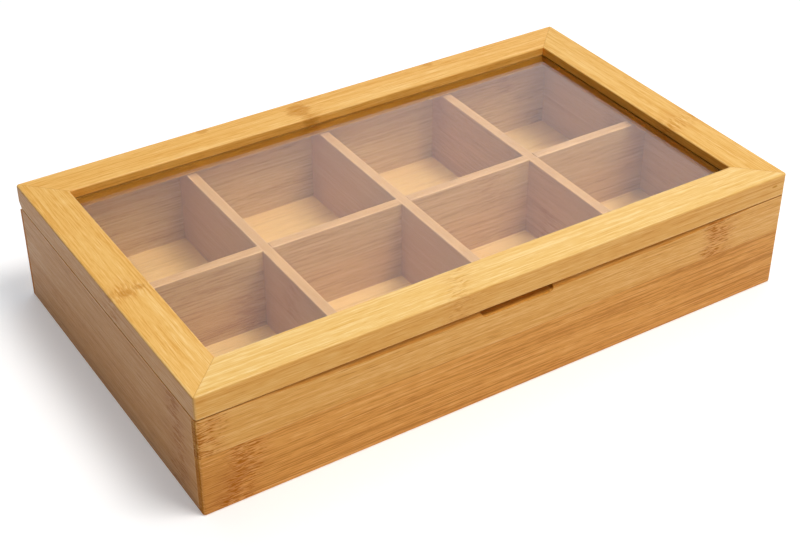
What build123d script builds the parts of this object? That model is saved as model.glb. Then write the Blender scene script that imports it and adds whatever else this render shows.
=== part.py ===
from build123d import *
import os

# Tea bag organizer box: a bamboo chest with eight compartments in two rows of four,
# under a hinged lid with a clear window.
# X runs along the length, Y from the front (-) to the back (+), Z up. The origin is on
# the resting surface, below the middle of the box. All sizes are in millimetres.

# ---- Box boards ----
box_length = 335.0
box_depth = 200.0
wall_height = 54.0
wall_thickness = 10.0
rebate_lip = 4.2            # outer part of the front and back boards that covers the end boards
corner_round = 1.5          # upright outside corners, box and lid
foot_round = 0.8            # lower outside edges
front_chamfer_height = 2.7  # shadow line along the top of the front board
front_chamfer_depth = 1.9
front_chamfer_stop = 14.0   # left square at each end of the front board
front_chamfer_runout = 65.0  # over which the chamfer fades to nothing
back_edge_round = 4.2       # top of the back board, lower half of the notch that frees the lid

# ---- Finger notch in the top of the front board ----
notch_length = 42.0
notch_height = 4.0
notch_depth = 7.0
notch_corner = 3.4
notch_bevel = 0.2

# ---- Floor ----
floor_lift = 4.0            # gap below the floor
floor_thickness = 5.0
floor_groove_depth = 5.0
floor_play = 0.4            # room for the panel to swell, each edge

# ---- Partitions ----
columns = 4
divider_thickness = 5.5
divider_drop = 0.5          # tops lie this far below the top of the boards
divider_edge_round = 0.6
housing_depth = 2.5         # how far the ends reach into the boards

# ---- Lid ----
seam_gap = 0.3              # daylight between the boards and the closed lid
lid_thickness = 12.7
rail_width = 20.5
lid_edge_round = 1.0
lid_foot_chamfer = 0.4
window_edge_round = 0.8
back_bevel_depth = 4.2      # upper half of the notch at the back
back_bevel_height = 5.0
pane_recess = 4.8           # from the top of the lid down to the pane
pane_thickness = 2.0
pane_groove_depth = 5.0
pane_play = 0.5
spline_length = 7.0         # along the mitre
spline_width = 9.0          # across the mitre
spline_thickness = 3.0

# ---- Hinges ----
hinge_length = 25.0
hinge_inset = 55.0          # from the end of the box to the middle of a hinge
hinge_setback = 3.1         # from the back face to the pin
leaf_width = 6.4            # from the pin to the far edge
leaf_thickness = 1.0
knuckle_count = 3
knuckle_gap = 0.3
barrel_radius = 1.75
pin_radius = 0.8
pin_clearance = 0.05
pin_overhang = 0.3          # the pin stands out of each end of the barrel

# ---- Hinge screws ----
screws_per_leaf = 2
screw_spacing = 14.0
screw_edge_distance = 2.1   # from the far edge of the leaf
screw_length = 8.0
screw_head_radius = 1.2
screw_head_height = 0.5
screw_radius = 0.7
screw_tip_length = 1.2
pilot_radius = 0.5          # the thread bites into the wood around it

# ---- Worked out from the sizes above ----
half_length = box_length / 2
half_depth = box_depth / 2
inner_half_length = half_length - wall_thickness
inner_half_depth = half_depth - wall_thickness
floor_top = floor_lift + floor_thickness
divider_top = wall_height - divider_drop
halving_height = (floor_top + divider_top) / 2
cell_width = (2 * inner_half_length - (columns - 1) * divider_thickness) / columns
cross_divider_x = [
    -inner_half_length + i * (cell_width + divider_thickness) - divider_thickness / 2
    for i in range(1, columns)
]
lid_bottom = wall_height + seam_gap
lid_top = lid_bottom + lid_thickness
pane_top = lid_top - pane_recess
pane_bottom = pane_top - pane_thickness
pin_y = half_depth - hinge_setback
pin_z = wall_height + seam_gap / 2
screw_y = pin_y - leaf_width + screw_edge_distance
hinge_x = {"left": hinge_inset - half_length, "right": half_length - hinge_inset}
bore_radius = pin_radius + pin_clearance
pin_length = hinge_length - knuckle_gap + 2 * pin_overhang
cut_margin = 1.0            # cutting tools run past open faces by this much
hair = 0.001                # edges this close to a height lie at it

parts = {}


def block(x_range, y_range, z_range):
    """Rectangular solid between two limits along each axis."""
    sizes = [high - low for low, high in (x_range, y_range, z_range)]
    middle = [(high + low) / 2 for low, high in (x_range, y_range, z_range)]
    return Pos(*middle) * Box(*sizes)


def long_prism(points):
    """Prism along X whose outline is given as (y, z) points."""
    outline = make_face(Polyline(*[(0, y, z) for y, z in points], close=True))
    return extrude(outline, amount=half_length + cut_margin, dir=(1, 0, 0), both=True)


def x_cylinder(radius, length, x, y, z):
    """Cylinder along X with its middle at the point."""
    return Pos(x, y, z) * Rot(0, 90, 0) * Cylinder(radius, length)


def rounded_plan(bottom, top):
    """Outside form of the box or the lid, with upright corners rounded."""
    plan = RectangleRounded(box_length, box_depth, corner_round)
    return extrude(Pos(0, 0, bottom) * plan, amount=top - bottom)


def edges_at(shape, height):
    """Edges that lie flat at one height."""
    return shape.edges().filter_by_position(Axis.Z, height - hair, height + hair)


def stopped_chamfer():
    """Cutter for the top edge of the front board: a chamfer that runs out before both ends."""
    slope = front_chamfer_height / front_chamfer_depth
    outside = -half_depth - cut_margin

    def section(x, depth):
        """Triangle across the edge that leaves a facet of this depth."""
        return make_face(Polyline(
            (x, outside, wall_height + cut_margin),
            (x, outside, wall_height - slope * (depth + cut_margin)),
            (x, -half_depth + depth + cut_margin / slope, wall_height + cut_margin),
            close=True,
        ))

    start = half_length - front_chamfer_stop
    full = start - front_chamfer_runout
    stations = [(-start, 0), (-full, front_chamfer_depth), (full, front_chamfer_depth), (start, 0)]
    return loft([section(x, depth) for x, depth in stations], ruled=True)


def box_form():
    """Outside form of the four boards: chamfered in front, rounded behind."""
    form = fillet(edges_at(rounded_plan(0, wall_height), 0), foot_round)
    form -= stopped_chamfer()
    round_y = half_depth - back_edge_round
    round_z = wall_height - back_edge_round
    corner = block(
        (-half_length - cut_margin, half_length + cut_margin),
        (round_y, half_depth + cut_margin),
        (round_z, wall_height + cut_margin),
    )
    return form - (corner - x_cylinder(back_edge_round, 2 * box_length, 0, round_y, round_z))


def finger_notch():
    """Cutter for the finger notch, flared where it meets the front face."""
    tall = notch_height + seam_gap + cut_margin
    profile = Pos(0, tall / 2) * Rectangle(notch_length, tall)
    lower = profile.vertices().group_by(Axis.Y)[0]
    profile = fillet(lower, notch_corner)
    plane = Plane(origin=(0, -half_depth, wall_height - notch_height), x_dir=(1, 0, 0), z_dir=(0, -1, 0))
    deep = extrude(plane * profile, amount=-notch_depth)
    flare = extrude(plane * offset(profile, notch_bevel), amount=-notch_bevel, taper=45)
    return deep + flare


def hinge_recess(x, leaf_bottom):
    """Cutter for one hinge: the bed of a leaf and the hollow that its barrel turns in."""
    bed = block(
        (x - hinge_length / 2, x + hinge_length / 2),
        (pin_y - leaf_width, pin_y),
        (leaf_bottom, leaf_bottom + leaf_thickness),
    )
    hollow_length = pin_length + 2 * knuckle_gap
    return bed + x_cylinder(barrel_radius + knuckle_gap, hollow_length, x, pin_y, pin_z)


def screw_places(x):
    """Plan positions of the screws in one leaf."""
    first = x - screw_spacing * (screws_per_leaf - 1) / 2
    return [(first + i * screw_spacing, screw_y) for i in range(screws_per_leaf)]


def pilot_holes(x, face, direction):
    """Holes for the screws of one leaf, from the face into the wood."""
    middle = face + direction * screw_length / 2
    return Part() + [Pos(sx, sy, middle) * Cylinder(pilot_radius, screw_length) for sx, sy in screw_places(x)]


def long_board(side):
    """Front (-1) or back (+1) board: rebated ends, floor groove, partition housings."""
    outer = side * half_depth
    inner = side * inner_half_depth
    lip = side * (half_depth - rebate_lip)
    board = box_form() & block(
        (-half_length, half_length), sorted((outer, inner)), (0, wall_height)
    )
    for end in (-1, 1):
        board -= block(
            sorted((end * inner_half_length, end * (half_length + cut_margin))),
            sorted((lip, inner - side * cut_margin)),
            (-cut_margin, wall_height + cut_margin),
        )
    board -= block(
        (-half_length, half_length),
        sorted((inner + side * floor_groove_depth, inner - side * cut_margin)),
        (floor_lift, floor_top),
    )
    for x in cross_divider_x:
        board -= block(
            (x - divider_thickness / 2, x + divider_thickness / 2),
            sorted((inner + side * housing_depth, inner - side * cut_margin)),
            (floor_top, wall_height + cut_margin),
        )
    return board


def end_board(side):
    """Left (-1) or right (+1) board between the lips of the long boards."""
    outer = side * half_length
    inner = side * inner_half_length
    reach = half_depth - rebate_lip
    board = box_form() & block(sorted((outer, inner)), (-reach, reach), (0, wall_height))
    board -= block(
        sorted((inner + side * floor_groove_depth, inner - side * cut_margin)),
        (-reach - cut_margin, reach + cut_margin),
        (floor_lift, floor_top),
    )
    board -= block(
        sorted((inner + side * housing_depth, inner - side * cut_margin)),
        (-divider_thickness / 2, divider_thickness / 2),
        (floor_top, wall_height + cut_margin),
    )
    return board


def partition(x_range, y_range, along):
    """Partition board with its two long top edges rounded."""
    board = block(x_range, y_range, (floor_top, divider_top))
    return fillet(edges_at(board, divider_top).filter_by(along), divider_edge_round)


def crossing(x, z_range):
    """Cutter for one halving joint of the partitions."""
    half = divider_thickness / 2
    return block((x - half, x + half), (-half, half), z_range)


def make_box():
    """Boards, floor and partitions."""
    parts["front_wall"] = long_board(-1) - finger_notch()
    back = long_board(1)
    for x in hinge_x.values():
        back -= hinge_recess(x, wall_height - leaf_thickness)
        back -= pilot_holes(x, wall_height, -1)
    parts["back_wall"] = back
    parts["left_wall"] = end_board(-1)
    parts["right_wall"] = end_board(1)

    floor_x = inner_half_length + floor_groove_depth - floor_play
    floor_y = inner_half_depth + floor_groove_depth - floor_play
    parts["bottom_panel"] = block((-floor_x, floor_x), (-floor_y, floor_y), (floor_lift, floor_top))

    reach_x = inner_half_length + housing_depth
    reach_y = inner_half_depth + housing_depth
    half = divider_thickness / 2
    long_divider = partition((-reach_x, reach_x), (-half, half), Axis.X)
    for x in cross_divider_x:
        long_divider -= crossing(x, (halving_height, divider_top))
    parts["long_divider"] = long_divider
    for name, x in zip(("left", "middle", "right"), cross_divider_x):
        divider = partition((x - half, x + half), (-reach_y, reach_y), Axis.Y)
        parts[f"cross_divider_{name}"] = divider - crossing(x, (floor_top, halving_height))


def lid_frame():
    """All four rails in one, before they are parted at the mitres."""
    window_x = half_length - rail_width
    window_y = half_depth - rail_width
    frame = rounded_plan(lid_bottom, lid_top)
    frame = fillet(edges_at(frame, lid_top), lid_edge_round)
    frame = chamfer(edges_at(frame, lid_bottom), lid_foot_chamfer)
    frame -= block(
        (-window_x, window_x),
        (-window_y, window_y),
        (lid_bottom - cut_margin, lid_top + cut_margin),
    )
    window_edges = edges_at(frame, lid_top).filter_by(
        lambda edge: abs(edge.center().X) <= window_x and abs(edge.center().Y) <= window_y
    )
    frame = fillet(window_edges, window_edge_round)
    frame -= block(
        (-window_x - pane_groove_depth, window_x + pane_groove_depth),
        (-window_y - pane_groove_depth, window_y + pane_groove_depth),
        (pane_bottom, pane_top),
    )
    frame -= long_prism([
        (half_depth - back_bevel_depth, lid_bottom),
        (half_depth, lid_bottom + back_bevel_height),
        (half_depth + cut_margin, lid_bottom + back_bevel_height),
        (half_depth + cut_margin, lid_bottom - cut_margin),
        (half_depth - back_bevel_depth, lid_bottom - cut_margin),
    ])
    for x in hinge_x.values():
        frame -= hinge_recess(x, lid_bottom)
        frame -= pilot_holes(x, lid_bottom, 1)
    return frame


def mitre_splines():
    """Loose tongues across the four mitres."""
    inset = (rail_width - pane_groove_depth) / 2
    middle_z = (lid_bottom + lid_top) / 2
    tongue = Box(spline_length, spline_width, spline_thickness)
    return [
        Pos(sx * (half_length - inset), sy * (half_depth - inset), middle_z) * Rot(0, 0, 45 * sx * sy) * tongue
        for sx in (-1, 1)
        for sy in (-1, 1)
    ]


def mitred(points):
    """Upright prism over one rail's plan, parted from its neighbours at the mitres."""
    plan = make_face(Polyline(*[(x, y, lid_bottom) for x, y in points], close=True))
    return extrude(plan, amount=lid_thickness, dir=(0, 0, 1))


def make_lid():
    """Rails, splines and pane."""
    splines = mitre_splines()
    frame = lid_frame()
    for spline in splines:
        frame -= spline
    outer_x, outer_y = half_length, half_depth
    inner_x, inner_y = half_length - rail_width, half_depth - rail_width
    for name, side in (("front", -1), ("back", 1)):
        plan = [(-outer_x, side * outer_y), (outer_x, side * outer_y),
                (inner_x, side * inner_y), (-inner_x, side * inner_y)]
        parts[f"lid_{name}_rail"] = frame & mitred(plan)
    for name, side in (("left", -1), ("right", 1)):
        plan = [(side * outer_x, -outer_y), (side * outer_x, outer_y),
                (side * inner_x, inner_y), (side * inner_x, -inner_y)]
        parts[f"lid_{name}_rail"] = frame & mitred(plan)
    parts["lid_corner_splines"] = Compound(children=splines)
    pane_x = inner_x + pane_groove_depth - pane_play
    pane_y = inner_y + pane_groove_depth - pane_play
    parts["lid_pane"] = block((-pane_x, pane_x), (-pane_y, pane_y), (pane_bottom, pane_top))


def screw_form():
    """Countersunk screw with its head at the origin, pointing down."""
    return revolve(make_face(Polyline(
        (0, 0, 0),
        (screw_head_radius, 0, 0),
        (screw_radius, 0, -screw_head_height),
        (screw_radius, 0, screw_tip_length - screw_length),
        (0, 0, -screw_length),
        close=True,
    )), Axis.Z)


def hinge_leaf(first_knuckle):
    """Box leaf about its pin: plate, every second knuckle from the first, countersunk holes."""
    plate_top = -seam_gap / 2
    plate_z = (plate_top - leaf_thickness, plate_top)
    clear_y = -barrel_radius - knuckle_gap
    leaf = block((-hinge_length / 2, hinge_length / 2), (-leaf_width, clear_y), plate_z)
    pitch = hinge_length / knuckle_count
    half = (pitch - knuckle_gap) / 2
    for i in range(first_knuckle, knuckle_count, 2):
        x = (i - (knuckle_count - 1) / 2) * pitch
        leaf += block((x - half, x + half), (clear_y, 0), plate_z)
        leaf += x_cylinder(barrel_radius, 2 * half, x, 0, 0)
    leaf -= x_cylinder(bore_radius, hinge_length, 0, 0, 0)
    for x, y in screw_places(0):
        leaf -= Pos(x, y - pin_y, plate_top) * screw_form()
    return leaf


def hinge_pin():
    """Plain wire pin through all knuckles."""
    return x_cylinder(pin_radius, pin_length, 0, 0, 0)


def hinge_screws():
    """Screws of one box leaf about its pin."""
    return [Pos(x, y - pin_y, -seam_gap / 2) * screw_form() for x, y in screw_places(0)]


def make_hinges():
    """Two butt hinges, each with two leaves, a pin and its screws."""
    flip = Plane.XY
    for name, x in hinge_x.items():
        place = Pos(x, pin_y, pin_z)
        parts[f"hinge_{name}_box_leaf"] = place * hinge_leaf(0)
        parts[f"hinge_{name}_lid_leaf"] = place * mirror(hinge_leaf(1), about=flip)
        parts[f"hinge_{name}_pin"] = place * hinge_pin()
        screws = hinge_screws()
        parts[f"hinge_{name}_box_screws"] = Compound(children=[place * screw for screw in screws])
        parts[f"hinge_{name}_lid_screws"] = Compound(
            children=[place * mirror(screw, about=flip) for screw in screws]
        )


make_box()
make_lid()
make_hinges()
os.makedirs("parts", exist_ok=True)
for node, shape in parts.items():
    export_step(shape, f"parts/{node}.step")
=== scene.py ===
"""Looks of a bamboo tea bag box with a windowed lid, two brass hinges and eight compartments.

Sizes and places are in metres, in the frame of the solid model: X along the length, Y from the
front (-) to the back (+), Z up from the resting surface.
"""

import logging
import math
from dataclasses import dataclass, field
from enum import Enum

import bpy
import numpy as np
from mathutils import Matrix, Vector

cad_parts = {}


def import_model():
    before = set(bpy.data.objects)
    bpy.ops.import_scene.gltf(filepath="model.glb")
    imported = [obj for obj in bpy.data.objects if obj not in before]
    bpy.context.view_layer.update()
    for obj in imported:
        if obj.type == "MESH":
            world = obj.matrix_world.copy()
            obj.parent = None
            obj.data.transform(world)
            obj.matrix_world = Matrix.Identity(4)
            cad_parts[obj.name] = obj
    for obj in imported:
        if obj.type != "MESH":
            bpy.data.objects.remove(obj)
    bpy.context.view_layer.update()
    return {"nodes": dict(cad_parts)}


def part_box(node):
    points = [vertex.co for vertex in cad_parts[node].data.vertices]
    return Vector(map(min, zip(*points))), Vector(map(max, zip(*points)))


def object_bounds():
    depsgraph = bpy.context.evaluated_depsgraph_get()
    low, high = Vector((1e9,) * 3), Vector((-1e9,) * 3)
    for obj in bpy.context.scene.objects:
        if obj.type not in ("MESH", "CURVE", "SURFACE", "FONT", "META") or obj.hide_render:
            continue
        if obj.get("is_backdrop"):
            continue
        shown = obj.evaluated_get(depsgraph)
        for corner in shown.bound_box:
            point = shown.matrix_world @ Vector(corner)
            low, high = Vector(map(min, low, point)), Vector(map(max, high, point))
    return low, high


MM = 0.001
LOG = logging.getLogger("tea_box")
# The most by which a drawn strip's tone, warmth and lean, the last in millimetres, differ.
STRIP_TONE = 0.10
STRIP_WARMTH = 0.25
STRIP_LEAN = 4

Colour = tuple[float, float, float]
Point = tuple[float, float, float]
Levels = tuple[float, float]
Socket = bpy.types.NodeSocket
Value = Socket | Colour | float


class Axis(Enum):
    """A direction of the frame, as the index of its coordinate."""

    X = 0
    Y = 1
    Z = 2


class ShaderSheet:
    """Adds nodes to one material's tree and links them."""

    def __init__(self, name: str) -> None:
        """Starts an empty material.

        Args:
            name: the material's name.
        """
        self.material = bpy.data.materials.new(name)
        self.material.use_nodes = True
        self.tree = self.material.node_tree
        self.tree.nodes.clear()
        self.output = self.add("ShaderNodeOutputMaterial")

    def add(self, kind: str, **settings: object) -> bpy.types.Node:
        """Adds a node.

        Args:
            kind: the node's type.
            settings: its properties.

        Returns:
            The new node.
        """
        node = self.tree.nodes.new(kind)
        for name, value in settings.items():
            setattr(node, name, value)
        return node

    def feed(self, socket: Socket, value: Value) -> None:
        """Links a socket or sets its value.

        Args:
            socket: the input to feed.
            value: an output socket, a number or a tuple of numbers.
        """
        if isinstance(value, Socket):
            self.tree.links.new(value, socket)
        elif isinstance(value, tuple) and len(value) < len(socket.default_value):
            socket.default_value = (*value, 1.0)
        else:
            socket.default_value = value

    def math(self, operation: str, *values: Value) -> Socket:
        """One arithmetic step on numbers or sockets.

        Args:
            operation: the Math node's operation.
            values: its inputs in order.

        Returns:
            The result's socket.
        """
        node = self.add("ShaderNodeMath", operation=operation)
        for socket, value in zip(node.inputs, values):
            self.feed(socket, value)
        return node.outputs[0]

    def ramp(
        self, value: Value, low: float, high: float, to_low: float = 0.0, to_high: float = 1.0
    ) -> Socket:
        """Smooth step of a value between two levels.

        Args:
            value: the socket to map.
            low: the level that gives to_low.
            high: the level that gives to_high.
            to_low: result at low.
            to_high: result at high.

        Returns:
            The mapped socket.
        """
        node = self.add("ShaderNodeMapRange", interpolation_type="SMOOTHSTEP")
        for socket, level in zip(node.inputs, (value, low, high, to_low, to_high)):
            self.feed(socket, level)
        return node.outputs[0]

    def vector(self, *parts: Value) -> Socket:
        """Joins three parts into a vector.

        Args:
            parts: the numbers or sockets.

        Returns:
            The vector's socket.
        """
        node = self.add("ShaderNodeCombineXYZ")
        for socket, part in zip(node.inputs, parts):
            self.feed(socket, part)
        return node.outputs[0]

    def split(self, vector: Socket) -> list[Socket]:
        """Takes a vector apart.

        Args:
            vector: its socket.

        Returns:
            The sockets of its three parts.
        """
        node = self.add("ShaderNodeSeparateXYZ")
        self.feed(node.inputs[0], vector)
        return list(node.outputs)

    def noise(self, vector: Socket, detail: float = 2.0) -> Socket:
        """Smooth noise about 0.5 with one cell per unit of the vector.

        Args:
            vector: where it is read.
            detail: how many finer layers it has.

        Returns:
            The noise socket.
        """
        node = self.add("ShaderNodeTexNoise", noise_dimensions="3D")
        self.feed(node.inputs["Vector"], vector)
        self.feed(node.inputs["Scale"], 1.0)
        self.feed(node.inputs["Detail"], detail)
        return node.outputs["Fac"]

    def mix(self, share: Value, first: Value, second: Value, mode: str = "MIX") -> Socket:
        """Blends two colours.

        Args:
            share: how much of the second shows.
            first: the colour at share 0.
            second: the colour at share 1.
            mode: the blend type.

        Returns:
            The blended colour's socket.
        """
        node = self.add("ShaderNodeMix", data_type="RGBA", blend_type=mode)
        self.feed(node.inputs["Factor"], share)
        self.feed(node.inputs["A"], first)
        self.feed(node.inputs["B"], second)
        return node.outputs["Result"]

    def bump(self, height: Value, strength: float, distance: float) -> Socket:
        """Normals of a relief.

        Args:
            height: the relief's socket.
            strength: how much of it shows.
            distance: its depth in metres at height 1.

        Returns:
            The normal socket.
        """
        node = self.add("ShaderNodeBump")
        self.feed(node.inputs["Strength"], strength)
        self.feed(node.inputs["Distance"], distance)
        self.feed(node.inputs["Height"], height)
        return node.outputs[0]

    def cells(self, parts: list[Value], counts: Point, detail: float = 2.0) -> Socket:
        """Noise with its own number of cells on each axis.

        Args:
            parts: the three object coordinates.
            counts: cells per metre on the three axes.
            detail: how many finer layers it has.

        Returns:
            The noise socket.
        """
        scaled = (self.math("MULTIPLY", part, count) for part, count in zip(parts, counts))
        return self.noise(self.vector(*scaled), detail)

    def principled(self, **values: Value) -> bpy.types.Node:
        """Adds the surface shader and sets its even values.

        Args:
            values: socket names with spaces as underscores, and their values.

        Returns:
            The shader node.
        """
        node = self.add("ShaderNodeBsdfPrincipled")
        for name, value in values.items():
            self.feed(node.inputs[name.replace("_", " ")], value)
        return node


@dataclass(frozen=True)
class Strip:
    """One glued bamboo strip of a board.

    low and high bound it across the grain. tone lightens or darkens it, and warm reddens it.
    knots are the places of its nodes along the grain, and lean is how much further along the
    grain a node lies at the strip's high edge than at its low one. streaky is how strongly
    the long streaks show.
    """

    low: float
    high: float
    tone: float = 0.0
    warm: float = 0.0
    knots: tuple[float, ...] = ()
    lean: float = 0.0
    streaky: float = 1.0


# Real stains, and also the painted shade that darkens the inside of the finger notch.
@dataclass(frozen=True)
class StainOrShade:
    """A soft brown mark: its middle along, across and through the board, half sizes and depth."""

    along: float
    across: float
    into: float
    length: float
    width: float
    depth: float


@dataclass(frozen=True)
class BambooColours:
    """Colours of the fibres, from the dark late ones to the pale early ones, and of the nodes."""

    dark: Colour
    middle: Colour
    pale: Colour
    knot: Colour


LID_BAMBOO = BambooColours(
    (0.71, 0.37, 0.065), (0.82, 0.50, 0.14), (0.90, 0.63, 0.26), knot=(0.50, 0.19, 0.01)
)
BOARD_BAMBOO = BambooColours(
    (0.50, 0.205, 0.018), (0.70, 0.34, 0.062), (0.80, 0.45, 0.140), knot=(0.36, 0.098, 0.001)
)
INNER_BAMBOO = BambooColours(
    (0.57, 0.32, 0.11), (0.75, 0.485, 0.225), (0.83, 0.59, 0.32), knot=(0.38, 0.165, 0.035)
)
FLOOR_BAMBOO = BambooColours(
    (0.65, 0.39, 0.13), (0.82, 0.55, 0.205), (0.89, 0.64, 0.275), knot=(0.44, 0.21, 0.06)
)


@dataclass(frozen=True)
class Grain:
    """One layer of long noise cells.

    length and width are a cell's, offset moves the layer along the grain, away from the others,
    and share is how much it changes the tone.
    """

    length: float
    width: float
    offset: float
    share: float = 0.0


@dataclass(frozen=True)
class Fades:
    """Levels between which each part of the wood's look fades in."""

    dark_fibres: Levels = (-0.15, 0.5)
    pale_fibres: Levels = (0.5, 1.1)
    pits: Levels = (0.38, 0.26)
    clouds: Levels = (0.36, 0.62)
    dark_flecks: Levels = (0.58, 0.74)
    pale_flecks: Levels = (0.46, 0.36)
    knot_core: Levels = (0.0, 0.3)
    stains_and_shade: Levels = (1.0, 0.2)
    polish: Levels = (0.1, 0.9)
    upright: Levels = (0.8, 0.4)
    end_grain: Levels = (0.6, 0.9)


FADES = Fades()


@dataclass(frozen=True)
class Place:
    """Where a point of a board lies: along the grain, across it and into the board."""

    along: Value
    across: Value
    into: Value


@dataclass(frozen=True)
class Wood:
    """Sockets of what the wood shows at a point.

    level is how pale the fibres are, and warm how red. fibres, dashes and flecks are noises.
    The others are 1 on a glue line, in a pore, on a dark or pale dash of a node, and on the
    stained ground round a node.
    """

    level: Value
    warm: Value
    fibres: Value
    dashes: Value
    flecks: Value
    glue: Value
    pits: Value
    dark_knot: Value
    pale_knot: Value
    ground: Value


@dataclass(frozen=True)
class Lacquer:
    """The clear coat: its sheen, and the relief of the wood that shows through it.

    dark_change, pale_change and knot_change are added to the roughness on dark and pale
    fibres and on a node's dashes. dull_share is the sheen left on marks and end grain. The
    reliefs are depths over that of the dashes, which is depth metres deep.
    """

    roughness: float = 0.42
    dark_change: float = 0.08
    pale_change: float = -0.05
    knot_change: float = 0.12
    gloss: float = 0.25
    coat: float = 0.06
    coat_roughness: float = 0.2
    dull_share: float = 0.1
    fibre_relief: float = 0.7
    pit_relief: float = 0.5
    knot_relief: float = 0.8
    line_relief: float = 0.8
    strength: float = 0.4
    depth: float = 0.00014

    def cover(
        self, sheet: ShaderSheet, wood: Wood, colour: Value, dull: Value, lines: Value
    ) -> None:
        """Finishes a material with the coated surface.

        Args:
            sheet: the material being made.
            wood: what the wood shows.
            colour: the wood's colour.
            dull: 1 where the sheen is lost.
            lines: 1 on the glue lines.
        """
        surface = sheet.principled(Coat_Roughness=self.coat_roughness)
        for socket, full in (("Specular IOR Level", self.gloss), ("Coat Weight", self.coat)):
            sheen = sheet.ramp(dull, 0.0, 1.0, full, self.dull_share * full)
            sheet.feed(surface.inputs[socket], sheen)
        sheet.feed(surface.inputs["Base Color"], colour)
        dark, pale = self.roughness + self.dark_change, self.roughness + self.pale_change
        rough = sheet.ramp(wood.level, *FADES.polish, dark, pale)
        rough = sheet.math("MULTIPLY_ADD", wood.dark_knot, self.knot_change, rough)
        sheet.feed(surface.inputs["Roughness"], rough)
        relief = sheet.math("MULTIPLY_ADD", wood.fibres, self.fibre_relief, wood.dashes)
        for furrow, depth in (
            (wood.pits, self.pit_relief),
            (wood.dark_knot, self.knot_relief),
            (lines, self.line_relief),
        ):
            relief = sheet.math("MULTIPLY_ADD", furrow, -depth, relief)
        sheet.feed(surface.inputs["Normal"], sheet.bump(relief, self.strength, self.depth))
        sheet.feed(sheet.output.inputs["Surface"], surface.outputs[0])


@dataclass(frozen=True)
class Shades:
    """Tints of single faces of a board.

    side, inner, under and slant are painted shade and light: side for upright faces, inner for
    those nearer the middle of the box, under for inner ones that lie below a pane, and slant
    for chamfers, darkened as if shaded by the lid. end is the end grain's own darker colour.
    """

    side: Colour = (1.0, 1.0, 1.0)
    inner: Colour = (1.0, 1.0, 1.0)
    under: Colour = (1.0, 1.0, 1.0)
    slant: Colour = (1.0, 1.0, 1.0)
    end: Colour = (0.66, 0.52, 0.42)


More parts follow.
